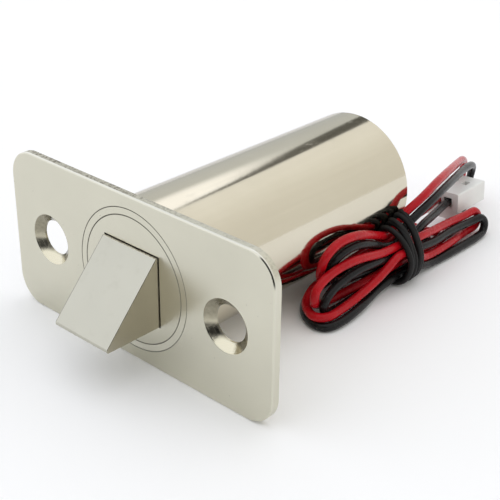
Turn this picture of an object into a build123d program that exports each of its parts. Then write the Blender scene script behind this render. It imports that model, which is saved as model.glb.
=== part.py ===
from build123d import *
import math
import os

# A round-bodied solenoid lock. The tube's axis is Y, and the bolt comes out towards -Y.
# The origin is midway between the screw holes, on the face plate's back. Lengths are in millimetres.

# Clearances
seat_gap = 0.05  # round a piece that is pressed or glued in
slide_gap = 0.2  # round the bolt, on each side of its square hole
stop_gap = 0.1  # between the bolt's flange and the guide cap, bolt out

# Face plate
plate_width = 60.0
plate_margin = 1.8  # of the plate, above and below the tube
plate_thickness = 1.5
plate_corner_radius = 5.1
plate_edge_round = 0.25
screw_spacing = 41.0
screw_hole_radius = 3.1
countersink_radius = 4.5
screw_land = 0.35  # straight part of a screw hole, behind its cone

# Body tube
tube_radius = 12.7
tube_length = 55.7  # behind the plate's back
tube_wall = 2.0
spigot_step = 0.45  # how much the front end is turned down, to fit the plate's hole
spigot_wall = 1.15
shoulder_depth = 0.3  # how far the tube's shoulder is let into the plate's back
tube_rear_chamfer = 0.3

# Guide cap and bolt
cap_thickness = 4.0
bolt_corner_margin = 2.07  # from the corners of the bolt's hole to the guide cap's edge
bolt_reach = 11.0  # in front of the plate, bolt out
bolt_travel = 10.5
bolt_top_land = 0.5  # flat strip above the slanted nose, in front of the plate
bolt_tip_height = 0.7  # blunt tip, below the slanted nose
bolt_tip_round = 0.28
bolt_flange_clearance = 0.4  # round the flange, in the tube
bolt_flange_thickness = 4.0
spring_pocket_radius = 5.0
spring_pocket_depth = 4.0

# Plunger, its pin and its spring
plunger_radius = 3.5
plunger_spigot_radius = 2.5
plunger_spigot_length = 5.0
plunger_nose_length = 2.5
plunger_nose_radius = 1.6
pin_radius = 1.0
pin_from_shoulder = 2.5
core_air_gap = 0.4  # left between plunger and core, bolt in
spring_mean_radius = 4.3
spring_wire_radius = 0.3
spring_wire_sides = 8
spring_turns = 7

# Coil and its magnetic parts
front_pole_y = 18.0
front_pole_thickness = 2.0
guide_tube_radius = 3.9
guide_tube_wall = 0.3
bobbin_hub_wall = 0.7
bobbin_flange_thickness = 1.0
bobbin_clearance = 0.3  # round the bobbin, in the tube
winding_depth = 0.9  # of the winding, below the bobbin's edge
tape_thickness = 0.25
core_flange_thickness = 3.0
core_stem_length = 10.6  # of the fixed core, inside the bobbin
core_clearance = 0.1  # between the fixed core and the guide tube
core_thread_depth = 7.0
notch_margin = 0.6  # round the two wires, in the core flange's notch

# Rear cap, core screw and grommet
rear_cap_thickness = 2.7
rear_seat_wall = 1.2
screw_radius = 1.5
screw_head_radius = 2.9
screw_slot_width = 0.8
screw_slot_depth = 0.7
screw_end_gap = 1.0  # left in front of the screw, in its hole
grommet_neck_radius = 2.5
grommet_flange_radius = 3.4
grommet_flange_thickness = 1.0
grommet_edge_round = 0.4
grommet_margin = 0.7  # between the grommet's flange and the rear cap's edge

# Lead and its tie
wire_radius = 0.8
wire_pitch = 1.75  # between the two wires, in the grommet
bundle_width = 6.2
bundle_height = 9.2
bundle_x = 15.7
bundle_behind = 1.8  # how far the bundle reaches behind the tube
bundle_overlap = 2.0  # how far the bundle runs into the loops in front of it
tie_wire_radius = 0.55
tie_from_rear = 8.9  # the tie's lowest front edge, in front of the tube's rear end
tie_lean = 4.5  # how much farther back the tie's top is
tie_turns = 5
pair_radius = 1.6  # round both wires of a pass
pass_start = 0.2  # how deep a pass starts in the bundle
tail_z = -7.2  # height of the tails where they leave the bundle
lobe_inner_x = 7.0
lobe_outer_x = 19.6
lobe_end_z = -4.0  # top of the loops, at the tie
lobe_length = 31.7  # how far the loops reach in front of the tube's rear end
pad_margin = 0.1  # over one wire's thickness, where loops lie on the floor
pad_corner_radius = 1.2
tube_clearance = 0.3  # between the lead and the body tube

# Plug
plug_width = 7.4
plug_length = 9.8
plug_body_height = 4.2
plug_lip_height = 5.75
plug_lip_thickness = 1.45
plug_pitch = 2.5
plug_cavity_side = 1.9
plug_window_length = 1.8
plug_window_width = 1.3
plug_edge_round = 0.3
plug_window_station = 3.4  # from the plug's far end to the windows' middle
plug_roll = -4.0  # in degrees, as it leans on the loops
plug_x = 8.65
plug_behind = 18.7  # from the tube's rear end to the plug's wire end
plug_z = -8.6
contact_side = 1.7
contact_hole_side = 0.9
contact_length = 6.0
contact_inset = 0.5  # from the plug's far end
wire_depth_in_plug = 2.6

# Radii that follow from the tube
tube_bore_radius = tube_radius - tube_wall
spigot_radius = tube_radius - spigot_step
cap_seat_radius = spigot_radius - spigot_wall
cap_radius = cap_seat_radius - seat_gap
bolt_side = math.sqrt(2) * (cap_radius - bolt_corner_margin) - 2 * slide_gap
bolt_flange_radius = tube_bore_radius - bolt_flange_clearance
bobbin_flange_radius = tube_bore_radius - bobbin_clearance
winding_radius = bobbin_flange_radius - winding_depth
inner_disc_radius = tube_bore_radius - seat_gap
rear_seat_radius = tube_radius - rear_seat_wall
rear_cap_radius = rear_seat_radius - seat_gap
lead_drop = rear_seat_radius - grommet_margin - grommet_flange_radius

# Stations along the axis, from the driving sizes above. Those of the lead go with the tube's rear end.
plate_front_y = -plate_thickness
plate_height = 2 * (tube_radius + plate_margin)
floor_z = -plate_height / 2
cap_rear_y = plate_front_y + cap_thickness
flange_front_y = cap_rear_y + stop_gap
flange_rear_y = flange_front_y + bolt_flange_thickness
pocket_floor_y = flange_rear_y - spring_pocket_depth
bobbin_front_y = front_pole_y + front_pole_thickness
core_flange_rear_y = tube_length - rear_cap_thickness
bobbin_rear_y = core_flange_rear_y - core_flange_thickness
core_front_y = bobbin_rear_y - core_stem_length
nose_start_y = core_front_y - core_air_gap - bolt_travel
plunger_rear_y = nose_start_y + plunger_nose_length
tie_front_y = tube_length - tie_from_rear
tie_width = 2 * tie_wire_radius * tie_turns
bundle_z = floor_z + 2 * tie_wire_radius + bundle_height / 2
bundle_rear_y = tube_length + bundle_behind


def across(y):
    """The plane square to the lock's axis at this station. It faces forward, with X right and Z up."""
    return Plane.XZ.offset(-y)


def turned(outline):
    """A piece turned about the lock's axis, from its outline as (radius, station) points."""
    with BuildPart() as piece:
        with BuildSketch(Plane.XY):
            with BuildLine():
                Polyline(*outline, close=True)
            make_face()
        revolve(axis=Axis.Y)
    return piece


def ring_outline(inner, outer, front, rear):
    """The outline of a plain ring about the axis."""
    return [(inner, front), (outer, front), (outer, rear), (inner, rear)]


def bend_radii(points):
    """For each corner of a route, the largest arc that leaves a little of both its runs straight."""
    radii = []
    for before, corner, after in zip(points, points[1:], points[2:]):
        run_in = Vector(*corner) - Vector(*before)
        run_out = Vector(*after) - Vector(*corner)
        half_turn = math.radians(run_in.get_angle(run_out)) / 2
        radii.append(0.45 * min(run_in.length, run_out.length) / math.tan(half_turn))
    return radii


def round_tube(points, radius):
    """A round solid along straight runs joined by tangent arcs."""
    start = Vector(*points[0])
    with BuildPart() as tube:
        with BuildLine():
            FilletPolyline(*points, radius=bend_radii(points))
        with BuildSketch(Plane(origin=start, z_dir=Vector(*points[1]) - start)):
            Circle(radius)
        sweep()
    return tube


def wire_tube(name, points):
    """One insulated wire of the lead, with its bends printed."""
    print(name, "bend radii", [round(r, 1) for r in bend_radii(points)])
    return round_tube(points, wire_radius)


def from_rear(points):
    """Points of the lead, whose stations are counted from the tube's rear end."""
    return [(x, tube_length + y, z) for x, y, z in points]


def cavity_point(plane, spot, depth):
    """A point on a cavity's centre line, this deep behind the plug's wire end."""
    point = plane.from_local_coords((spot[0], spot[1], -depth))
    return (point.X, point.Y, point.Z)


# Face plate: rounded rectangle, a round hole that the tube's spigot fills, and two countersunk screw holes
with BuildPart() as face_plate:
    with BuildSketch(Plane.XZ):
        RectangleRounded(plate_width, plate_height, plate_corner_radius)
    extrude(amount=plate_thickness)
    plate_front = face_plate.faces().sort_by(Axis.Y)[0]
    fillet(plate_front.edges(), radius=plate_edge_round)
    with BuildSketch(Plane.XZ):
        Circle(spigot_radius + seat_gap)
    extrude(amount=plate_thickness, mode=Mode.SUBTRACT)
    with BuildSketch(Plane.XZ):
        Circle(tube_radius + seat_gap)
    extrude(amount=shoulder_depth, mode=Mode.SUBTRACT)
    cone_depth = plate_thickness - screw_land
    cone_angle = 2 * math.degrees(math.atan((countersink_radius - screw_hole_radius) / cone_depth))
    with Locations(across(plate_front_y)):
        with GridLocations(screw_spacing, 0, 2, 1):
            CounterSinkHole(screw_hole_radius, countersink_radius, plate_thickness, cone_angle)

# Body tube: its front end is turned down and closes the plate's hole flush, and both ends have a seat
body_tube = turned(
    [
        (cap_seat_radius, plate_front_y),
        (spigot_radius, plate_front_y),
        (spigot_radius, -shoulder_depth),
        (tube_radius, -shoulder_depth),
        (tube_radius, tube_length - tube_rear_chamfer),
        (tube_radius - tube_rear_chamfer, tube_length),
        (rear_seat_radius, tube_length),
        (rear_seat_radius, core_flange_rear_y),
        (tube_bore_radius, core_flange_rear_y),
        (tube_bore_radius, cap_rear_y),
        (cap_seat_radius, cap_rear_y),
    ]
)

# Guide cap: a disc with the square hole that keeps the bolt straight
with BuildPart() as guide_cap:
    with BuildSketch(across(plate_front_y)):
        Circle(cap_radius)
        Rectangle(bolt_side + 2 * slide_gap, bolt_side + 2 * slide_gap, mode=Mode.SUBTRACT)
    extrude(amount=-cap_thickness)

# Latch bolt: square, with a slanted nose, a round flange that stops it and a pocket for the spring
bolt_half = bolt_side / 2
bolt_tip_y = plate_front_y - bolt_reach
bolt_pin_y = pocket_floor_y - pin_from_shoulder
with BuildPart() as latch_bolt:
    with BuildSketch(Plane.YZ):
        with BuildLine():
            Polyline(
                (bolt_tip_y, -bolt_half),
                (bolt_tip_y, bolt_tip_height - bolt_half),
                (plate_front_y - bolt_top_land, bolt_half),
                (flange_front_y, bolt_half),
                (flange_front_y, -bolt_half),
                close=True,
            )
        make_face()
    extrude(amount=bolt_half, both=True)
    tip_edges = latch_bolt.edges().filter_by(Axis.X).group_by(Axis.Y)[0]
    fillet(tip_edges, radius=bolt_tip_round)
    with BuildSketch(across(flange_front_y)):
        Circle(bolt_flange_radius)
    extrude(amount=-bolt_flange_thickness)
    with BuildSketch(across(flange_rear_y)):
        Circle(spring_pocket_radius)
    extrude(amount=spring_pocket_depth, mode=Mode.SUBTRACT)
    with BuildSketch(across(pocket_floor_y)):
        Circle(plunger_spigot_radius + seat_gap)
    extrude(amount=plunger_spigot_length + seat_gap, mode=Mode.SUBTRACT)
    with BuildSketch(Plane.YZ):
        with Locations((bolt_pin_y, 0)):
            Circle(pin_radius + seat_gap)
    extrude(amount=bolt_half, both=True, mode=Mode.SUBTRACT)

# Plunger: a spigot in the bolt, a shoulder on the pocket's floor, and a cone that enters the fixed core
with BuildPart() as plunger:
    with BuildSketch(Plane.XY):
        with BuildLine():
            Polyline(
                (0, pocket_floor_y - plunger_spigot_length),
                (plunger_spigot_radius, pocket_floor_y - plunger_spigot_length),
                (plunger_spigot_radius, pocket_floor_y),
                (plunger_radius, pocket_floor_y),
                (plunger_radius, nose_start_y),
                (plunger_nose_radius, plunger_rear_y),
                (0, plunger_rear_y),
                close=True,
            )
        make_face()
    revolve(axis=Axis.Y)
    with BuildSketch(Plane.YZ):
        with Locations((bolt_pin_y, 0)):
            Circle(pin_radius + seat_gap)
    extrude(amount=plunger_spigot_radius, both=True, mode=Mode.SUBTRACT)

# Plunger pin: straight through bolt and plunger, just below the bolt's sides
with BuildPart() as plunger_pin:
    with BuildSketch(Plane.YZ):
        with Locations((bolt_pin_y, 0)):
            Circle(pin_radius)
    extrude(amount=bolt_half - seat_gap, both=True)

# Return spring: wire of an eight-sided section, from the bolt's pocket to the front pole
spring_front_y = pocket_floor_y + spring_wire_radius + seat_gap
spring_rear_y = front_pole_y - spring_wire_radius - seat_gap
spring_height = spring_rear_y - spring_front_y
with BuildPart() as return_spring:
    with BuildLine() as spring_line:
        Helix(
            pitch=spring_height / spring_turns,
            height=spring_height,
            radius=spring_mean_radius,
            center=(0, spring_front_y, 0),
            direction=(0, 1, 0),
        )
    with BuildSketch(Plane(origin=spring_line.line @ 0, z_dir=spring_line.line % 0)):
        RegularPolygon(spring_wire_radius, spring_wire_sides)
    sweep(is_frenet=True)

# Coil: brass guide tube, bobbin, winding and tape, between the front pole and the fixed core
bobbin_hub_inner = guide_tube_radius + seat_gap
bobbin_hub_outer = bobbin_hub_inner + bobbin_hub_wall
winding_front_y = bobbin_front_y + bobbin_flange_thickness
winding_rear_y = bobbin_rear_y - bobbin_flange_thickness
front_pole = turned(ring_outline(bobbin_hub_inner, inner_disc_radius, front_pole_y, bobbin_front_y))
guide_tube = turned(
    ring_outline(guide_tube_radius - guide_tube_wall, guide_tube_radius, front_pole_y, bobbin_rear_y)
)
coil_bobbin = turned(
    [
        (bobbin_hub_inner, bobbin_front_y),
        (bobbin_flange_radius, bobbin_front_y),
        (bobbin_flange_radius, winding_front_y),
        (bobbin_hub_outer, winding_front_y),
        (bobbin_hub_outer, winding_rear_y),
        (bobbin_flange_radius, winding_rear_y),
        (bobbin_flange_radius, bobbin_rear_y),
        (bobbin_hub_inner, bobbin_rear_y),
    ]
)
coil_winding = turned(ring_outline(bobbin_hub_outer, winding_radius, winding_front_y, winding_rear_y))
winding_tape = turned(
    ring_outline(winding_radius, winding_radius + tape_thickness, winding_front_y, winding_rear_y)
)

# Fixed core: a stem in the guide tube with a cup for the plunger's cone, and a flange with a lead notch
core_radius = guide_tube_radius - guide_tube_wall - core_clearance
cup_floor_y = core_front_y + plunger_nose_length
notch_width = wire_pitch + 2 * wire_radius + notch_margin
notch_top_z = -lead_drop + wire_radius + notch_margin
with BuildPart() as fixed_core:
    with BuildSketch(Plane.XY):
        with BuildLine():
            Polyline(
                (0, cup_floor_y),
                (plunger_nose_radius, cup_floor_y),
                (core_radius, core_front_y),
                (core_radius, bobbin_rear_y),
                (inner_disc_radius, bobbin_rear_y),
                (inner_disc_radius, core_flange_rear_y),
                (screw_radius + seat_gap, core_flange_rear_y),
                (screw_radius + seat_gap, core_flange_rear_y - core_thread_depth),
                (0, core_flange_rear_y - core_thread_depth),
                close=True,
            )
        make_face()
    revolve(axis=Axis.Y)
    with BuildSketch(across(core_flange_rear_y)):
        with Locations((0, (notch_top_z - tube_bore_radius) / 2)):
            Rectangle(notch_width, notch_top_z + tube_bore_radius)
    extrude(amount=core_flange_thickness, mode=Mode.SUBTRACT)

# Rear cap: a disc in the tube's rear seat, with a countersunk screw hole and the lead's outlet
with BuildPart() as rear_cap:
    with BuildSketch(across(tube_length)):
        Circle(rear_cap_radius)
    extrude(amount=rear_cap_thickness)
    with Locations(Plane(origin=(0, tube_length, 0), x_dir=(1, 0, 0), z_dir=(0, 1, 0))):
        CounterSinkHole(
            screw_radius + seat_gap, screw_head_radius + seat_gap, rear_cap_thickness, counter_sink_angle=90
        )
    with BuildSketch(across(tube_length)):
        with Locations((0, -lead_drop)):
            Circle(grommet_neck_radius + seat_gap)
    extrude(amount=rear_cap_thickness, mode=Mode.SUBTRACT)

# Core screw: countersunk, slotted, into the fixed core
head_depth = screw_head_radius - screw_radius
screw_end_y = core_flange_rear_y - core_thread_depth + screw_end_gap
with BuildPart() as core_screw:
    with BuildSketch(Plane.XY):
        with BuildLine():
            Polyline(
                (0, screw_end_y),
                (screw_radius, screw_end_y),
                (screw_radius, tube_length - head_depth),
                (screw_head_radius, tube_length),
                (0, tube_length),
                close=True,
            )
        make_face()
    revolve(axis=Axis.Y)
    with BuildSketch(across(tube_length)):
        Rectangle(2 * screw_head_radius, screw_slot_width)
    extrude(amount=screw_slot_depth, mode=Mode.SUBTRACT)

# Lead grommet: a rubber bush in the rear cap, with a hole for each wire
with BuildPart() as lead_grommet:
    with BuildSketch(across(core_flange_rear_y)):
        with Locations((0, -lead_drop)):
            Circle(grommet_neck_radius)
    extrude(amount=-rear_cap_thickness)
    with BuildSketch(across(tube_length)):
        with Locations((0, -lead_drop)):
            Circle(grommet_flange_radius)
    extrude(amount=-grommet_flange_thickness)
    fillet(lead_grommet.edges().filter_by(GeomType.CIRCLE).sort_by(Axis.Y)[-1], radius=grommet_edge_round)
    with BuildSketch(across(core_flange_rear_y)):
        with Locations((-wire_pitch / 2, -lead_drop), (wire_pitch / 2, -lead_drop)):
            Circle(wire_radius + seat_gap)
    extrude(amount=-2 * rear_cap_thickness, mode=Mode.SUBTRACT)

# Lead, from the coil's rear through the grommet and round into the tied bundle
lead_start_y = bobbin_rear_y + seat_gap
red_lead = wire_tube(
    "red_lead",
    [
        (-wire_pitch / 2, lead_start_y, -lead_drop),
        *from_rear(
            [
                (-wire_pitch / 2, 4.3, -lead_drop),
                (0.4, 9.7, -10.6),
                (4.1, 13.3, -13.5),
                (9.6, 13.8, -13.6),
                (13.5, 10.9, -11.5),
                (13.8, 6.3, -9.0),
                (13.8, bundle_behind, -9.0),
            ]
        ),
    ],
)
black_lead = wire_tube(
    "black_lead",
    [
        (wire_pitch / 2, lead_start_y, -lead_drop),
        *from_rear(
            [
                (wire_pitch / 2, 3.5, -lead_drop),
                (1.9, 7.8, -10.8),
                (5.1, 10.7, -13.1),
                (9.3, 11.2, -13.5),
                (12.8, 8.9, -12.9),
                (13.8, 5.4, -10.8),
                (13.8, bundle_behind, -10.8),
            ]
        ),
    ],
)

# Tied bundle and the loops on both its sides, as one outer shape. The loops in front end on the tie's front.
tie_height = bundle_height + 4 * tie_wire_radius
lobe_end_y = tie_lean * (lobe_end_z - floor_z) / tie_height - tie_from_rear
left_side = [
    (-tie_from_rear, floor_z),
    (-30.5, floor_z),
    (-31.1, -11.5),
    (-28.1, -5.0),
    (-23.7, -1.2),
    (-15.7, -0.9),
    (lobe_end_y, lobe_end_z),
]
left_above = [
    (12.8, lobe_end_y),
    (9.0, -12.2),
    (7.4, -20.7),
    (9.3, -27.2),
    (12.5, -30.7),
    (16.4, -31.1),
    (18.7, -28.7),
    (19.2, -24.7),
    (18.6, lobe_end_y),
]
left_end = [
    (lobe_inner_x, floor_z),
    (lobe_inner_x, -9.0),
    (12.5, -0.9),
    (15.2, -1.2),
    (17.2, -5.0),
    (lobe_outer_x, -11.5),
    (lobe_outer_x, floor_z),
]
floor_pad = [
    (13.4, 14.8),
    (4.6, 19.8),
    (0.6, 29.3),
    (-0.8, 35.8),
    (0.8, 39.5),
    (4.2, 39.7),
    (6.8, 35.3),
    (9.4, 29.9),
    (12.5, 28.5),
    (16.2, 27.9),
    (18.5, 23.3),
    (18.7, 14.8),
]
pad_height = 2 * wire_radius + pad_margin
upper_pass = [
    (13.9, bundle_behind - pass_start, -4.9),
    (13.6, 5.6, -3.4),
    (11.4, 10.6, -3.0),
    (8.2, 18.8, -4.0),
    (5.2, 28.3, -4.4),
    (3.0, 35.3, -6.0),
    (2.4, 37.9, -9.6),
    (3.2, 35.7, -12.6),
]
lower_pass = [
    (16.6, bundle_behind - pass_start, -10.8),
    (16.8, 4.6, -10.9),
    (16.2, 10.3, -12.0),
    (15.4, 16.8, floor_z + pair_radius),
    (14.9, 21.3, floor_z + pair_radius),
]

upper_finger = round_tube(from_rear(upper_pass), pair_radius)
lower_finger = round_tube(from_rear(lower_pass), pair_radius)
rear_plan = Plane(origin=(0, tube_length, floor_z))
lobe_plane = Plane(origin=(lobe_inner_x, tube_length, 0), x_dir=(0, 1, 0), z_dir=(1, 0, 0))
with BuildPart() as lead_hank:
    with BuildSketch(lobe_plane):
        with BuildLine():
            Polyline(*left_side, close=True)
        make_face()
    extrude(amount=lobe_outer_x - lobe_inner_x)
    with BuildSketch(rear_plan):
        with BuildLine():
            Polyline(*left_above, close=True)
        make_face()
    extrude(amount=plate_height, mode=Mode.INTERSECT)
    with BuildSketch(across(tube_length)):
        with BuildLine():
            Polyline(*left_end, close=True)
        make_face()
    extrude(amount=lobe_length, mode=Mode.INTERSECT)
    with BuildSketch(rear_plan):
        with BuildLine():
            Polyline(*floor_pad, close=True)
        pad_face = make_face()
        fillet(pad_face.vertices(), radius=pad_corner_radius)
    extrude(amount=pad_height)
    add(upper_finger)
    add(lower_finger)
    with BuildSketch(across(bundle_rear_y)):
        with Locations((bundle_x, bundle_z)):
            SlotOverall(bundle_height, bundle_width, rotation=90)
    extrude(amount=bundle_rear_y - tie_front_y + bundle_overlap)
    with BuildSketch(across(bundle_rear_y)):
        Circle(tube_radius + tube_clearance)
    extrude(amount=bundle_rear_y, mode=Mode.SUBTRACT)

# Tie: wire wound round the bundle, as one band that leans back
with BuildPart() as tie_wire:
    with BuildSketch(across(bundle_rear_y)):
        with Locations((bundle_x, bundle_z)):
            SlotOverall(tie_height, bundle_width + 4 * tie_wire_radius, rotation=90)
            SlotOverall(
                bundle_height + 2 * seat_gap, bundle_width + 2 * seat_gap, rotation=90, mode=Mode.SUBTRACT
            )
    extrude(amount=bundle_rear_y - tie_front_y)
    with BuildSketch(Plane.YZ.offset(lobe_inner_x)):
        with BuildLine():
            Polyline(
                (tie_front_y, floor_z),
                (tie_front_y + tie_width, floor_z),
                (tie_front_y + tie_width + tie_lean, floor_z + tie_height),
                (tie_front_y + tie_lean, floor_z + tie_height),
                close=True,
            )
        make_face()
    extrude(amount=2 * bundle_x, mode=Mode.INTERSECT)

# Plug: a body with a deeper lip at the wires' end, and two cavities from end to end
roll = math.radians(plug_roll)
plug_across = Vector(math.cos(roll), 0, -math.sin(roll))
plug_plane = Plane(origin=(plug_x, tube_length + plug_behind, plug_z), x_dir=plug_across, z_dir=(0, -1, 0))
plug_rear_plane = plug_plane.offset(-plug_length)
lip_drop = (plug_lip_height - plug_body_height) / 2
cavity_spots = [(-plug_pitch / 2, 0), (plug_pitch / 2, 0)]
with BuildPart() as plug_housing:
    with BuildSketch(plug_plane):
        Rectangle(plug_width, plug_body_height)
    extrude(amount=-plug_length)
    fillet(plug_housing.edges().filter_by(Axis.Y), radius=plug_edge_round)
    with BuildSketch(plug_plane):
        with Locations((0, -lip_drop)):
            RectangleRounded(plug_width, plug_lip_height, plug_edge_round)
    extrude(amount=-plug_lip_thickness)
    with BuildSketch(plug_plane):
        with Locations(*cavity_spots):
            Rectangle(plug_cavity_side, plug_cavity_side)
    extrude(amount=-plug_length, mode=Mode.SUBTRACT)
    window_depth = plug_length - plug_window_station
    window_plane = Plane(
        origin=plug_plane.from_local_coords((0, plug_body_height / 2, -window_depth)),
        x_dir=plug_across,
        z_dir=plug_plane.y_dir,
    )
    with BuildSketch(window_plane):
        with Locations(*cavity_spots):
            Rectangle(plug_window_width, plug_window_length)
    extrude(amount=-plug_body_height / 2, mode=Mode.SUBTRACT)

# Plug contacts: a folded square socket on the end of each wire
with BuildPart() as plug_contacts:
    with BuildSketch(plug_rear_plane.offset(contact_inset)):
        with Locations(*cavity_spots):
            Rectangle(contact_side, contact_side)
            Rectangle(contact_hole_side, contact_hole_side, mode=Mode.SUBTRACT)
    extrude(amount=contact_length)

# Tails: from the bundle to the plug, one wire to each cavity
red_tail = wire_tube(
    "red_tail",
    [
        *from_rear([(15.2, bundle_behind, tail_z), (15.2, 5.2, tail_z), (12.4, 9.2, -7.0), (9.2, 13.1, -7.8)]),
        cavity_point(plug_plane, cavity_spots[0], -1.6),
        cavity_point(plug_plane, cavity_spots[0], wire_depth_in_plug),
    ],
)
black_tail = wire_tube(
    "black_tail",
    [
        *from_rear([(16.9, bundle_behind, tail_z), (16.9, 5.8, tail_z), (14.6, 9.7, -7.1), (11.6, 13.8, -7.8)]),
        cavity_point(plug_plane, cavity_spots[1], -1.4),
        cavity_point(plug_plane, cavity_spots[1], wire_depth_in_plug),
    ],
)

# Every piece under its own name
nodes = {
    "face_plate": face_plate,
    "body_tube": body_tube,
    "guide_cap": guide_cap,
    "latch_bolt": latch_bolt,
    "plunger": plunger,
    "plunger_pin": plunger_pin,
    "return_spring": return_spring,
    "front_pole": front_pole,
    "guide_tube": guide_tube,
    "coil_bobbin": coil_bobbin,
    "coil_winding": coil_winding,
    "winding_tape": winding_tape,
    "fixed_core": fixed_core,
    "rear_cap": rear_cap,
    "core_screw": core_screw,
    "lead_grommet": lead_grommet,
    "red_lead": red_lead,
    "black_lead": black_lead,
    "lead_hank": lead_hank,
    "tie_wire": tie_wire,
    "red_tail": red_tail,
    "black_tail": black_tail,
    "plug_housing": plug_housing,
    "plug_contacts": plug_contacts,
}
os.makedirs("parts", exist_ok=True)
for label, piece in nodes.items():
    piece.part.label = label
    export_step(piece.part, f"parts/{label}.step")
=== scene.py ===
import bpy
import math
from mathutils import Matrix, Vector


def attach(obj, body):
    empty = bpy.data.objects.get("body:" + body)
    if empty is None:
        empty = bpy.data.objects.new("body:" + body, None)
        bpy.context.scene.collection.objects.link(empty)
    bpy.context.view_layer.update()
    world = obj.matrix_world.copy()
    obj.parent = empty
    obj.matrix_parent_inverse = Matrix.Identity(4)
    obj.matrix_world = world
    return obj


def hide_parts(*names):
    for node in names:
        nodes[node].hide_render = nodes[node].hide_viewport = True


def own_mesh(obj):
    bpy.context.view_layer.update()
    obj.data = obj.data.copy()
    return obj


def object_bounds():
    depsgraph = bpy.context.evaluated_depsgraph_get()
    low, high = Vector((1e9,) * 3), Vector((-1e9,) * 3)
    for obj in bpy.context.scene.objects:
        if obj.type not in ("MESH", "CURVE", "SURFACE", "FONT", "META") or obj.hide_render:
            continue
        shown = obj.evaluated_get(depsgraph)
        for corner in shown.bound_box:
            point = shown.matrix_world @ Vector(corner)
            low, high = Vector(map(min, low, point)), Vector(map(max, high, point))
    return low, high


# The solenoid lock's looks. Lengths are in metres, and shader coordinates are in millimetres.
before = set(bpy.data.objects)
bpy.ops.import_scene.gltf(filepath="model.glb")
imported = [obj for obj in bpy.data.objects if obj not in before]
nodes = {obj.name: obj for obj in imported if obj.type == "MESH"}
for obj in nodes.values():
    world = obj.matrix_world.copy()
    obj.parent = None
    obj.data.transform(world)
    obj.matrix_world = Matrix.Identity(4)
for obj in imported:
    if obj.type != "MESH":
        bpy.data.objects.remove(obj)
cad_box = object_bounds()
scene = bpy.context.scene
scene.view_settings.view_transform = "Standard"

MM = 0.001

# Camera, fitted to the plate, the screw holes, the tube and the bolt
camera_place = Vector((0.118922, -0.104477, 0.08679))
camera_azimuth, camera_elevation, camera_roll = (math.radians(angle) for angle in (42.299, 27.442, 0.763))
back = Vector((
    math.sin(camera_azimuth) * math.cos(camera_elevation),
    -math.cos(camera_azimuth) * math.cos(camera_elevation),
    math.sin(camera_elevation),
))
level_right = Vector((0, 0, 1)).cross(back).normalized()
level_up = back.cross(level_right)
right = math.cos(camera_roll) * level_right + math.sin(camera_roll) * level_up
up = math.cos(camera_roll) * level_up - math.sin(camera_roll) * level_right
camera = bpy.data.objects.new("camera", bpy.data.cameras.new("camera"))
camera.data.lens, camera.data.sensor_width = 80.78, 36
camera.data.clip_start, camera.data.clip_end = 0.01, 20
camera.matrix_world = Matrix.Translation(camera_place) @ Matrix((right, up, back)).transposed().to_4x4()
scene.collection.objects.link(camera)
scene.camera = camera


# Materials: one class for a socket's value, one for a node tree
class Value:
    """An output socket that takes part in Python arithmetic. Each operation adds a Math node."""

    def __init__(self, tree, socket):
        self.tree, self.socket = tree, socket

    def math(self, operation, *terms):
        return self.tree.node("Math", {"operation": operation}, dict(enumerate(terms)))

    def other(self, name):
        """Another output of the same node."""
        return Value(self.tree, self.socket.node.outputs[name])

    def __add__(self, term):
        return self.math("ADD", self, term)

    def __sub__(self, term):
        return self.math("SUBTRACT", self, term)

    def __rsub__(self, term):
        return self.math("SUBTRACT", term, self)

    def __mul__(self, term):
        return self.math("MULTIPLY", self, term)

    def __truediv__(self, term):
        return self.math("DIVIDE", self, term)

    def __pow__(self, term):
        return self.math("POWER", self, term)

    def __abs__(self):
        return self.math("ABSOLUTE", self)

    def __neg__(self):
        return self.math("MULTIPLY", self, -1)

    __radd__ = __add__
    __rmul__ = __mul__

    def band(self, low, high):
        """0 at low and before, 1 at high and beyond, smooth between. It falls where high is the lower."""
        settings = {"interpolation_type": "SMOOTHSTEP"}
        if high > low:
            return self.tree.node("MapRange", settings, {"Value": self, "From Min": low, "From Max": high})
        return 1 - self.band(high, low)


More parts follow.
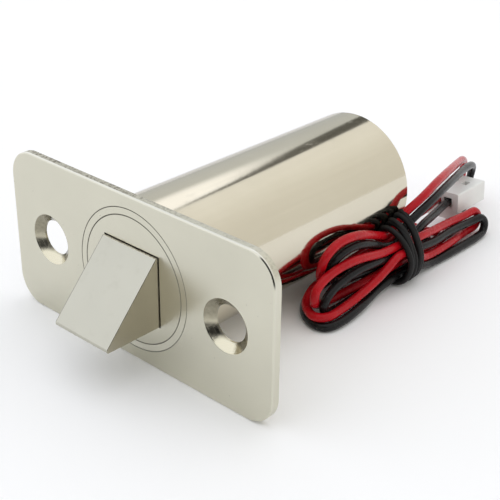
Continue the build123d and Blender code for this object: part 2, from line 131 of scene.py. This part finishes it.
class Tree:
    """A shader's node tree."""

    def __init__(self, node_tree):
        self.nodes, self.links = node_tree.nodes, node_tree.links

    def node(self, kind, settings=None, values=None, output=0):
        node = self.nodes.new("ShaderNode" + kind)
        for name, setting in (settings or {}).items():
            if name == "stops":
                stops = node.color_ramp.elements
                while len(stops) < len(setting):
                    stops.new(1)
                for stop, (position, colour) in zip(stops, setting):
                    stop.position, stop.color = position, (*colour, 1)
            else:
                setattr(node, name, setting)
        for name, value in (values or {}).items():
            self.feed(node.inputs[name], value)
        return Value(self, node.outputs[output])

    def feed(self, socket, value):
        if isinstance(value, Value):
            self.links.new(value.socket, socket)
        elif socket.type == "RGBA":
            socket.default_value = (*value[:3], 1)
        else:
            socket.default_value = value

    def dot(self, vector, direction):
        settings = {"operation": "DOT_PRODUCT"}
        return self.node("VectorMath", settings, {0: vector, 1: direction}, output="Value")

    def place(self, stretch=(1, 1, 1)):
        """Coordinates on the object, in millimetres, stretched along each axis."""
        spot = self.node("TexCoord", output="Object")
        scale = tuple(share / MM for share in stretch)
        return self.node("VectorMath", {"operation": "MULTIPLY"}, {0: spot, 1: scale})

    def parts(self, vector):
        x = self.node("SeparateXYZ", values={0: vector})
        return x, x.other("Y"), x.other("Z")

    def facing(self):
        """The surface's normal, on the object's own axes."""
        return self.parts(self.node("TexCoord", output="Normal"))

    def faces_front(self):
        """A mask of the surfaces that face forward, against Y."""
        return (-self.facing()[1]).band(0.5, 0.9)

    def noise(self, scale, detail=2.0, stretch=(1, 1, 1), roughness=0.5):
        values = {"Vector": self.place(stretch), "Scale": scale, "Detail": detail, "Roughness": roughness}
        return self.node("TexNoise", values=values)

    def specks(self, spacing, size):
        """Round specks of about this radius, one for each cell of this spacing, as a mask."""
        values = {"Vector": self.place(), "Scale": 1 / spacing}
        return self.node("TexVoronoi", values=values).band(size / spacing, 0.3 * size / spacing)

    def mix(self, share, a, b):
        return self.node("Mix", {"data_type": "RGBA"}, {0: share, 6: a, 7: b}, output=2)

    def ramp(self, value, *stops):
        return self.node("ValToRGB", {"stops": stops}, {0: value})


class Finish(Tree):
    """A material round one Principled shader. Sockets that are the same all over are given as values."""

    def __init__(self, name, **values):
        self.material = bpy.data.materials.new(name)
        self.material.use_nodes = True
        super().__init__(self.material.node_tree)
        self.shader = self.nodes["Principled BSDF"]
        for socket, value in values.items():
            self.give(socket.replace("_", " "), value)

    def give(self, socket, value):
        self.feed(self.shader.inputs[socket], value)

    def bump(self, *layers):
        """Each layer is (height, depth in millimetres)."""
        normal = None
        for height, depth in layers:
            values = {"Height": height, "Distance": depth * MM, "Strength": 1.0}
            if normal:
                values["Normal"] = normal
            normal = self.node("Bump", values=values)
        self.give("Normal", normal)


def dress(piece, finish):
    piece.data.materials.clear()
    piece.data.materials.append(finish.material)


# Wires of the lead. Each runs from the rear cap's grommet through the hank, and ends in the plug.
red_route = [
    (-0.000875, 0.05005, -0.0074), (-0.000875, 0.06, -0.0074), (0.0004, 0.0654, -0.0106),
    (0.0041, 0.069, -0.0135), (0.0096, 0.0695, -0.0136), (0.0135, 0.0666, -0.0115), (0.0138, 0.062, -0.009),
    (0.0138, 0.0575, -0.009), (0.0134, 0.05502, -0.009), (0.01343, 0.04777, -0.00859),
    (0.01192, 0.04106, -0.00845), (0.01095, 0.03485, -0.00923), (0.01216, 0.0313, -0.0084),
    (0.01389, 0.02888, -0.0052), (0.0149, 0.02883, -0.00191), (0.01501, 0.03232, -0.00025),
    (0.01509, 0.03785, -0.00077), (0.01426, 0.04425, -0.00362), (0.01302, 0.04903, -0.00599),
    (0.01262, 0.05145, -0.00503), (0.0141, 0.05317, -0.00216), (0.0152, 0.05677, 0.00005),
    (0.01397, 0.06263, 0.00057), (0.0118, 0.06943, -0.00017), (0.00903, 0.07649, -0.00177),
    (0.00587, 0.08368, -0.00382), (0.00348, 0.08937, -0.00541), (0.00221, 0.09212, -0.00785),
    (0.00204, 0.09198, -0.01097), (0.00371, 0.08899, -0.01353), (0.00634, 0.08357, -0.01368),
    (0.00944, 0.07629, -0.01349), (0.01291, 0.06949, -0.01338), (0.01512, 0.06319, -0.01248),
    (0.01544, 0.05671, -0.01098), (0.01577, 0.05045, -0.01059), (0.01494, 0.04404, -0.01159),
    (0.0129, 0.03794, -0.01319), (0.01257, 0.03253, -0.01333), (0.01406, 0.02805, -0.01135),
    (0.01566, 0.02528, -0.00909), (0.01574, 0.02579, -0.00636), (0.01593, 0.02997, -0.00473),
    (0.0164, 0.03614, -0.00442), (0.01638, 0.04325, -0.00627), (0.01616, 0.04943, -0.00667),
    (0.01648, 0.05555, -0.00704), (0.01544, 0.06255, -0.00827), (0.01462, 0.0690, -0.00926),
    (0.0147, 0.0730, -0.00955), (0.01475, 0.0756, -0.00957), (0.0148, 0.07695, -0.0096),
    (0.01495, 0.0780, -0.01065), (0.01505, 0.0780, -0.01215), (0.01505, 0.07695, -0.0132),
    (0.01503, 0.0756, -0.01323), (0.0150, 0.0729, -0.01325), (0.01646, 0.06684, -0.01231),
    (0.01704, 0.05987, -0.01185), (0.01714, 0.05532, -0.01139), (0.01796, 0.05168, -0.0087),
    (0.01742, 0.04776, -0.00721), (0.01774, 0.04207, -0.00947), (0.01716, 0.03587, -0.01171),
    (0.01726, 0.03085, -0.0123), (0.01761, 0.02671, -0.012), (0.01547, 0.02531, -0.01197),
    (0.01249, 0.02716, -0.01211), (0.01107, 0.02895, -0.01169), (0.01079, 0.03129, -0.01031),
    (0.00868, 0.03585, -0.01185), (0.00883, 0.0412, -0.01103), (0.01114, 0.04587, -0.00821),
    (0.01318, 0.04934, -0.00713), (0.01359, 0.05366, -0.00645), (0.0127, 0.05851, -0.00516),
    (0.01043, 0.0653, -0.00701), (0.00787, 0.07239, -0.00847), (0.0074, 0.0744, -0.00869),
    (0.0074, 0.077, -0.00869),
]
black_route = [
    (0.000875, 0.05005, -0.0074), (0.000875, 0.0592, -0.0074), (0.0019, 0.0635, -0.0108),
    (0.0051, 0.0664, -0.0131), (0.0093, 0.0669, -0.0135), (0.0128, 0.0646, -0.0129),
    (0.0138, 0.0611, -0.0108), (0.0138, 0.0575, -0.0108), (0.01372, 0.05397, -0.01154),
    (0.01375, 0.04703, -0.01151), (0.01282, 0.04105, -0.01094), (0.01262, 0.03572, -0.01064),
    (0.0133, 0.03253, -0.00806), (0.01432, 0.03087, -0.00511), (0.01505, 0.03231, -0.00297),
    (0.01515, 0.03657, -0.00248), (0.01502, 0.04215, -0.00422), (0.01454, 0.04708, -0.00706),
    (0.01462, 0.0506, -0.00748), (0.01496, 0.0521, -0.00441), (0.01603, 0.05474, -0.00208),
    (0.01554, 0.06017, -0.00121), (0.01383, 0.06652, -0.00141), (0.01148, 0.07352, -0.00245),
    (0.00888, 0.08052, -0.00375), (0.00715, 0.0861, -0.0048), (0.00602, 0.08951, -0.00628),
    (0.00538, 0.08962, -0.00934), (0.00586, 0.08821, -0.01275), (0.00781, 0.08438, -0.01381),
    (0.01061, 0.07792, -0.01363), (0.01387, 0.07128, -0.01367), (0.01594, 0.06574, -0.01374),
    (0.0156, 0.05976, -0.01352), (0.01525, 0.05366, -0.01216), (0.01503, 0.04818, -0.01257),
    (0.01457, 0.0424, -0.01375), (0.01493, 0.03548, -0.01371), (0.01528, 0.03029, -0.01339),
    (0.01599, 0.02758, -0.01166), (0.01649, 0.02732, -0.00913), (0.01615, 0.0306, -0.00776),
    (0.0164, 0.03622, -0.0067), (0.01651, 0.04204, -0.00738), (0.01575, 0.04778, -0.00853),
    (0.01675, 0.05363, -0.00866), (0.01677, 0.05943, -0.00972), (0.01579, 0.06643, -0.01021),
    (0.0157, 0.0730, -0.0108), (0.0161, 0.0757, -0.01065), (0.0163, 0.07694, -0.0106),
    (0.0167, 0.07785, -0.0115), (0.0169, 0.07785, -0.0128), (0.0171, 0.07694, -0.0137),
    (0.0173, 0.0757, -0.0137), (0.01755, 0.0727, -0.0137), (0.01755, 0.06482, -0.01358),
    (0.01723, 0.05832, -0.01359), (0.01755, 0.05302, -0.01202), (0.0165, 0.04802, -0.01246),
    (0.01628, 0.04272, -0.01332), (0.01805, 0.03583, -0.01335), (0.01864, 0.02997, -0.01356),
    (0.01811, 0.02625, -0.0136), (0.01544, 0.02556, -0.01365), (0.01165, 0.02746, -0.01365),
    (0.0088, 0.0316, -0.01366), (0.00758, 0.03681, -0.01372), (0.00864, 0.04179, -0.01262),
    (0.01179, 0.04614, -0.01065), (0.0148, 0.04937, -0.00986), (0.01513, 0.0535, -0.00838),
    (0.01419, 0.0584, -0.00684), (0.01236, 0.06504, -0.00775), (0.01033, 0.07226, -0.0084),
    (0.0099, 0.0744, -0.00851), (0.0099, 0.077, -0.00851),
]


def strand(name, route, radius, resolution=12, sides=5):
    """A round wire along a smooth line through these control points."""
    curve = bpy.data.curves.new(name, "CURVE")
    curve.dimensions = "3D"
    curve.bevel_depth, curve.bevel_resolution, curve.resolution_u = 1.0, sides, resolution
    curve.use_fill_caps = True
    spline = curve.splines.new("NURBS")
    spline.points.add(len(route) - 1)
    for point, place in zip(spline.points, route):
        point.co, point.radius = (*place, 1), radius
    spline.order_u = 3
    spline.use_endpoint_u = True
    piece = bpy.data.objects.new(name, curve)
    scene.collection.objects.link(piece)
    return piece


wire_radius = 0.8 * MM
red_wire = strand("red_wire", red_route, wire_radius)
black_wire = strand("black_wire", black_route, wire_radius)

# Tie: five turns round the hank, a little uneven. Their tops lean over to the tube and rest against it.
tie_turns, tie_points = 5, 20
tie_radius, tie_pitch = 0.55 * MM, 1.05 * MM
tie_x, tie_z, tie_half_width = 15.7 * MM, -8.8 * MM, 3.62 * MM
tie_depth, tie_height, tie_height_gain = 5.15 * MM, 4.75 * MM, 0.45 * MM  # under and over tie_z, and per turn
tie_front_y, tie_slant, tie_top_lean = 47.6 * MM, 0.05, 2.2 / 5.15
tie_fullness = 0.8
tie_clear_radius = 12.7 * MM + tie_radius


def rounded(wave, fullness):
    """A sine or cosine, filled out so that a ring comes out nearly oblong."""
    return math.copysign(abs(wave) ** fullness, wave)


tie_route = []
for step in range(tie_turns * tie_points + 1):
    turn = step / tie_points
    angle = 2 * math.pi * (turn - 0.25)
    rise = rounded(math.sin(angle), tie_fullness)
    z = tie_z + rise * (tie_depth if rise < 0 else tie_height + tie_height_gain * turn)
    uneven_width = tie_half_width * (1 + 0.035 * math.sin(7 * turn))
    x = tie_x + uneven_width * rounded(math.cos(angle), tie_fullness) - tie_top_lean * max(0, z - tie_z)
    out = tie_clear_radius / math.hypot(x, z)
    if out > 1:
        x, z = x * out, z * out
    y = tie_front_y + tie_slant * (z - tie_z + tie_depth) + tie_pitch * turn
    wander = (0.3 * math.sin(4.1 * turn + 1) + 0.25 * math.sin(9.7 * turn)) * MM
    tie_route.append((x, y + wander, z))
tie = strand("tie", tie_route, tie_radius, resolution=4, sides=3)

# Return spring, closed at both ends
spring_front_y, spring_rear_y = 2.95 * MM, 17.65 * MM
spring_mean_radius, spring_wire_radius = 4.3 * MM, 0.3 * MM
spring_turns, closed_turns, spring_points = 8, 1, 16
live_turns = spring_turns - 2 * closed_turns
closed_pitch = 2 * spring_wire_radius
live_pitch = (spring_rear_y - spring_front_y - 2 * closed_turns * closed_pitch) / live_turns
spring_route = []
for step in range(spring_turns * spring_points + 1):
    turn = step / spring_points
    live = min(max(turn - closed_turns, 0), live_turns)
    angle = 2 * math.pi * turn
    spring_route.append((
        spring_mean_radius * math.cos(angle),
        spring_front_y + closed_pitch * (turn - live) + live_pitch * live,
        spring_mean_radius * math.sin(angle),
    ))
spring_line = strand("spring_line", spring_route, spring_wire_radius, resolution=3, sides=2)
bpy.context.view_layer.update()
graph = bpy.context.evaluated_depsgraph_get()
spring_mesh = bpy.data.meshes.new_from_object(spring_line.evaluated_get(graph))
spring = bpy.data.objects.new("coil_spring", spring_mesh)
scene.collection.objects.link(spring)
bpy.data.objects.remove(spring_line)

for piece, slot in ((red_wire, "red_insulation"), (black_wire, "black_insulation"), (tie, "tie_covering"),
                    (spring, "spring_steel")):
    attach(piece, "lock_body")
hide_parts("red_lead", "red_tail", "lead_hank")
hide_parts("black_lead", "black_tail", "lead_hank")
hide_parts("tie_wire")
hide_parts("return_spring")
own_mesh(spring)


# Finishes
plate_colour = (0.65, 0.632, 0.528)
joint_dirt = (0.045, 0.04, 0.03)


def scaled(colour, share):
    return tuple(share * part for part in colour)


def radius_from_axis(x, z, centre=0.0):
    """Distance from an axis along Y, in millimetres."""
    return ((x - centre) * (x - centre) + z * z) ** 0.5


def ring_line(radius, at, width):
    """A thin ring at this radius, as a mask."""
    return abs(radius - at).band(width, 0.3 * width)


def satin_nickel(name, ring_radius, ring_width, ring_darkness, is_plate=False):
    """Satin nickel, with fine grain, faint clouds, pits and a dark joint ring. The plate has edges too."""
    paint = Finish(name, Metallic=1.0)
    x, y, z = paint.parts(paint.place())
    clouds = paint.noise(0.06, 3)
    grain = paint.noise(5, 3)
    pits = paint.specks(1.7, 0.11) * paint.noise(0.35, 1).band(0.45, 0.6)
    shade = paint.mix(clouds, scaled(plate_colour, 0.9), scaled(plate_colour, 1.08))
    shade = paint.mix(pits * 0.55, shade, (0.12, 0.11, 0.09))
    line = ring_line(radius_from_axis(x, z), ring_radius, ring_width) * paint.faces_front()
    upper_left, foot = (z - x).band(-14, 14), z.band(-5, -11)
    shade = paint.mix(line * (ring_darkness * (0.45 + 0.55 * upper_left + 0.4 * foot)), shade, joint_dirt)
    rough = 0.3 + 0.1 * (grain - 0.5) + 0.1 * pits + 0.3 * line
    layers = [(grain, 0.0012), (1 - pits, 0.02)]
    if is_plate:
        shade, rough, edge_layers = plate_edges(paint, x, y, z, shade, rough)
        layers += edge_layers
    paint.give("Base Color", shade)
    paint.give("Roughness", rough)
    paint.bump(*layers)
    return paint


def plate_edges(paint, x, y, z, shade, rough):
    """Sheared plate wall; rolled front edge with painted highlight and a painted dark corner reflection;
    turned countersinks with painted shade up top and a dark band lower down.
    """
    screw_x, countersink_radius = 20.5, 4.5
    nx, ny, nz = paint.facing()
    hole_radius = radius_from_axis(abs(x), z, screw_x)
    countersink = hole_radius.band(countersink_radius + 0.12, countersink_radius - 0.05)
    wall = abs(ny).band(0.55, 0.3) * (1 - countersink)
    rolled = wall * y.band(-0.95, -1.15)
    top_side = nz.band(0.25, 0.7)
    torn_wall = (wall - rolled) * top_side * (0.35 + 0.65 * x.band(18, -6))
    torn = paint.noise(3.0, 4, (1, 0.6, 1), 0.7)
    shade = paint.mix(torn_wall * (0.25 + 0.6 * torn.band(0.46, 0.6)), shade, (0.14, 0.12, 0.09))
    # Painted highlight: the rolled front edge is lightened, most on the top side.
    shade = paint.mix(rolled * (0.1 + 0.5 * top_side), shade, (0.86, 0.85, 0.8))
    front_round = y.band(-1.49, -1.45) * y.band(-1.24, -1.31)
    # Painted reflection: a near black line on the front rounding at the plate's upper right corner.
    painted_corner_reflection = front_round * x.band(26.7, 27.5) * z.band(9.6, 10.8)
    shade = paint.mix(painted_corner_reflection * 0.95, shade, (0.015, 0.014, 0.012))
    turned = paint.noise(1.0, 2, (0.001, 9, 0.001))
    scored = paint.noise(2.2, 3)
    # Painted shade: each countersink darkens towards its upper wall, broken up by the scored noise.
    countersink_upper_shade = z.band(-2.4, 0.6) * (0.45 + 0.4 * scored)
    # A near black band across each countersink below its middle, broken up by the scored noise.
    countersink_low_band = z.band(-3.3, -2.5) * z.band(-0.7, -1.5) * (0.6 + 0.4 * scored)
    shade = paint.mix(countersink * 0.8, shade, (0.66, 0.615, 0.46))
    shade = paint.mix(countersink * countersink_upper_shade, shade, (0.13, 0.115, 0.085))
    shade = paint.mix(countersink * countersink_low_band, shade, (0.03, 0.028, 0.024))
    rough = rough + 0.22 * torn_wall - 0.14 * countersink
    layers = [(torn * torn_wall, 0.06), (turned * countersink, 0.03), (scored * countersink, 0.02)]
    return shade, rough, layers


def polished_nickel():
    """Polished nickel tube, with drawing streaks, orange peel and dull marks. Its end shows in the plate,
    with a painted highlight on its lower part.
    """
    paint = Finish("polished_nickel", Metallic=1.0, Specular_Tint=(0.75, 0.75, 0.75))
    x, y, z = paint.parts(paint.place())
    streaks = paint.noise(1.6, 3, (1, 0.035, 1))
    clouds = paint.noise(0.12, 3)
    peel = paint.noise(1.5, 2)
    fine = paint.noise(3, 3)
    dull = paint.noise(0.5, 4, (1, 0.4, 1), 0.65).band(0.56, 0.72)
    front = paint.faces_front()
    rim = ring_line(radius_from_axis(x, z), 11.09, 0.1) * front
    shade = paint.mix(clouds, (0.67, 0.62, 0.50), (0.73, 0.68, 0.56))
    shade = paint.mix(0.25 * streaks, shade, (0.58, 0.54, 0.43))
    shade = paint.mix(front, shade, plate_colour)
    # Painted highlight: the lower part of the front end is lightened to a pale cream.
    shade = paint.mix(front * z.band(-4, -11) * 0.6, shade, (0.9, 0.88, 0.78))
    shade = paint.mix(rim * 0.7, shade, (0.05, 0.045, 0.035))
    paint.give("Base Color", shade)
    paint.give("Roughness", 0.08 + 0.08 * dull + 0.05 * streaks + 0.18 * front)
    paint.bump((peel, 0.002), (fine, 0.0028), (streaks, 0.002))
    return paint


def bolt_steel():
    """Bolt's plate: cooler grey, with faint stains, rubbing marks along its travel and dark edges. Its sides
    have painted shade and its top land painted light.
    """
    paint = Finish("bolt_steel", Metallic=1.0)
    x, y, z = paint.parts(paint.place())
    nx, ny, nz = paint.facing()
    stains = paint.noise(0.45, 4, (1, 1, 1), 0.6).band(0.52, 0.75)
    rubbed = paint.noise(2.4, 3, (1, 0.06, 1))
    grain = paint.noise(5, 3)
    shade = paint.mix(paint.noise(0.12, 2), (0.475, 0.465, 0.395), (0.515, 0.505, 0.43))
    shade = paint.mix(0.12 * stains, shade, (0.36, 0.34, 0.28))
    # Painted shade: the side faces are made darker than the rest of the steel.
    side = abs(nx).band(0.93, 0.98)
    shade = paint.mix(side * 0.85, shade, (0.44, 0.4, 0.31))
    # Painted light: the upward facing land is lightened to a pale cream; brown specks follow on it.
    land = nz.band(0.9, 0.98)
    shade = paint.mix(land * 0.7, shade, (0.86, 0.82, 0.72))
    shade = paint.mix(land * paint.noise(3.5, 3).band(0.52, 0.6) * 0.6, shade, (0.2, 0.14, 0.1))
    under_slant = 0.741 * (y + 2.0) - 0.671 * (z - 6.15)  # depth under the slanted face
    side_edge = side * under_slant.band(0.16, 0.08)
    left_edge = nz.band(0.5, 0.6) * x.band(-5.98, -6.08)
    shade = paint.mix(side_edge * 0.85 + left_edge * 0.5, shade, (0.05, 0.045, 0.035))
    paint.give("Base Color", shade)
    paint.give("Roughness", 0.26 + 0.08 * stains + 0.08 * rubbed)
    paint.bump((grain, 0.001), (rubbed, 0.002))
    return paint


def plain_metal(name, colour, roughness, mark_stretch, mark_scale=2.0):
    """Turned, drawn or ground metal: marks run where the stretch is small."""
    paint = Finish(name, Metallic=1.0)
    marks = paint.noise(mark_scale, 3, mark_stretch)
    clouds = paint.noise(0.2, 2)
    paint.give("Base Color", paint.mix(0.6 * clouds + 0.4 * marks, scaled(colour, 0.82), colour))
    paint.give("Roughness", roughness + 0.16 * marks)
    paint.bump((marks, 0.01))
    return paint


def insulation(name, colour, dark):
    """Glossy wire insulation, with a slight waviness and rubbed patches."""
    paint = Finish(name, Specular_IOR_Level=0.22)
    wavy = paint.noise(0.35, 2)
    rubbed = paint.noise(0.8, 4, (1, 1, 1), 0.6).band(0.5, 0.75)
    paint.give("Base Color", paint.mix(wavy, dark, colour))
    paint.give("Roughness", 0.24 + 0.16 * rubbed)
    paint.bump((wavy, 0.05), (paint.noise(4, 2), 0.004))
    return paint


def covering(name, colour, pale, roughness, scale, depth):
    """Soft or moulded matt covering, with a fine grain."""
    paint = Finish(name, Specular_IOR_Level=0.22)
    grain = paint.noise(scale, 4, (1, 1, 1), 0.6)
    paint.give("Base Color", paint.mix(grain, colour, pale))
    paint.give("Roughness", roughness + 0.15 * grain)
    paint.bump((grain, depth))
    return paint


def moulded_nylon(name, colour, shade):
    """Natural nylon, slightly translucent, with faint flow marks."""
    paint = Finish(name, Subsurface_Weight=0.15, Subsurface_Radius=(1.0, 0.95, 0.9), Subsurface_Scale=0.0012)
    flow = paint.noise(0.3, 3)
    grain = paint.noise(7, 2)
    paint.give("Base Color", paint.mix(flow, shade, colour))
    paint.give("Roughness", 0.3 + 0.12 * grain)
    paint.bump((grain, 0.003), (flow, 0.02))
    return paint


def wound(name, colour, dark, pitch, metallic):
    """Turns of wire or tape laid side by side along the axis, with painted shade in the grooves between them.
    """
    paint = Finish(name, Metallic=metallic)
    turns = paint.parts(paint.place())[1] / pitch
    crown = (turns.math("PINGPONG", turns, 0.5) * 2).band(0, 0.8)
    uneven = paint.noise(0.8, 3)
    # Painted shade: each turn is darker towards the grooves between turns and lighter on its crown.
    paint.give("Base Color", paint.mix(crown * (0.7 + 0.3 * uneven), dark, colour))
    paint.give("Roughness", 0.3 + 0.15 * uneven)
    paint.bump((crown, 0.08), (uneven, 0.02))
    return paint


along_axis, round_axis = (1, 0.04, 1), (0.02, 1, 0.02)
finishes = {
    "face_plate": satin_nickel("satin_nickel", 12.26, 0.2, 1.0, is_plate=True),
    "guide_cap": satin_nickel("cap_nickel", 11.04, 0.14, 0.9),
    "body_tube": polished_nickel(),
    "latch_bolt": bolt_steel(),
    "plunger": plain_metal("soft_iron", (0.5, 0.5, 0.49), 0.3, round_axis),
    "plunger_pin": plain_metal("pin_steel", (0.6, 0.6, 0.6), 0.2, (1, 1, 0.05)),
    "guide_tube": plain_metal("brass", (0.75, 0.56, 0.25), 0.2, along_axis),
    "rear_cap": plain_metal("rear_nickel", (0.68, 0.66, 0.58), 0.26, (0.6, 1, 0.6), 0.8),
    "core_screw": plain_metal("screw_zinc", (0.66, 0.67, 0.69), 0.3, (1, 1, 1), 3.0),
    # Each winding's second colour is painted shade for the grooves between its turns.
    "coil_winding": wound("copper_wire", (0.7, 0.3, 0.14), (0.25, 0.09, 0.04), 0.35, 0.8),
    "winding_tape": wound("coil_tape", (0.8, 0.55, 0.08), (0.6, 0.38, 0.05), 9.0, 0.0),
    "coil_bobbin": moulded_nylon("bobbin_nylon", (0.84, 0.82, 0.74), (0.76, 0.73, 0.64)),
    "plug_housing": moulded_nylon("plug_nylon", (0.84, 0.84, 0.815), (0.77, 0.77, 0.745)),
    "lead_grommet": covering("grommet_rubber", (0.012, 0.012, 0.012), (0.03, 0.03, 0.03), 0.5, 3.0, 0.02),
    "plug_contacts": plain_metal("tinned_contact", (0.72, 0.72, 0.7), 0.3, (1, 0.1, 1), 3.0),
}
finishes["front_pole"] = finishes["fixed_core"] = finishes["plunger"]
for name, finish in finishes.items():
    dress(nodes[name], finish)
dress(red_wire, insulation("red_insulation", (0.54, 0.005, 0.012), (0.34, 0.003, 0.008)))
dress(black_wire, insulation("black_insulation", (0.01, 0.0097, 0.0104), (0.005, 0.005, 0.0053)))
dress(tie, covering("tie_covering", (0.005, 0.005, 0.005), (0.012, 0.0115, 0.0115), 0.4, 4.0, 0.03))
dress(spring, plain_metal("spring_steel", (0.5, 0.5, 0.5), 0.25, (1, 1, 1), 1.5))

# Floor, white where the light falls freely
floor_z = cad_box[0].z - 0.02 * MM
floor_half = 4.0
floor_corners = [(x * floor_half, y * floor_half, floor_z) for x, y in ((-1, -1), (1, -1), (1, 1), (-1, 1))]
floor_mesh = bpy.data.meshes.new("floor")
floor_mesh.from_pydata(floor_corners, [], [(0, 1, 2, 3)])
floor = bpy.data.objects.new("floor", floor_mesh)
scene.collection.objects.link(floor)
dress(floor, Finish("floor_white", Base_Color=(0.97, 0.97, 0.97), Roughness=0.9, Specular_IOR_Level=0.0))

# World: a white tent. Over the tube it has a long dark gap with a brighter wall beside it, and round the
# camera a dark opening. Only the camera itself sees plain white.
across_tent, toward_camera = (-0.815, -0.525, 0.245), (0.5, -0.76, 0.415)
world = bpy.data.worlds.new("tent")
scene.world = world
world.use_nodes = True
tent = Tree(world.node_tree)
direction = tent.node("TexCoord", output="Generated")
dx, dy, dz = tent.parts(direction)
across = tent.dot(direction, across_tent)
walls = tent.ramp(
    (across + 1) * 0.5,
    (0.0, (0.80, 0.785, 0.745)), (0.2, (0.86, 0.845, 0.805)),
    (0.38, (0.99, 0.985, 0.96)), (0.49, (1.01, 1.005, 0.99)),
    (0.53, (0.71, 0.74, 0.76)), (0.68, (0.73, 0.755, 0.77)),
    (0.76, (1.17, 1.19, 1.24)), (1.0, (1.2, 1.22, 1.28)),
)
bright_wall = across.band(0.02, 0.08) * across.band(0.36, 0.27) * dz.band(0.45, 0.6) * dy.band(0.715, 0.655)
walls = tent.mix(bright_wall, walls, (1.37, 1.38, 1.44))
gap_middle = 0.03 + 0.03 * dy.band(0.66, 0.72)
gap_half_width = 0.012 + 0.05 * dy.band(0.645, 0.715) * dy.band(0.8, 0.745)
past_gap_edge = abs(across - gap_middle) - gap_half_width
gap = past_gap_edge.band(0.01, -0.01) * dz.band(0.2, 0.4) * dy.band(0.615, 0.645)
walls = tent.mix(gap, walls, (0.12, 0.12, 0.11))
walls = tent.mix(tent.dot(direction, toward_camera).band(0.9, 0.94), walls, (0.06, 0.06, 0.06))
seen_by_camera = tent.node("LightPath", output="Is Camera Ray")
tent.feed(tent.nodes["Background"].inputs["Color"], tent.mix(seen_by_camera, walls, (1.0, 1.0, 1.0)))
tent.feed(tent.nodes["Background"].inputs["Strength"], 1.05)
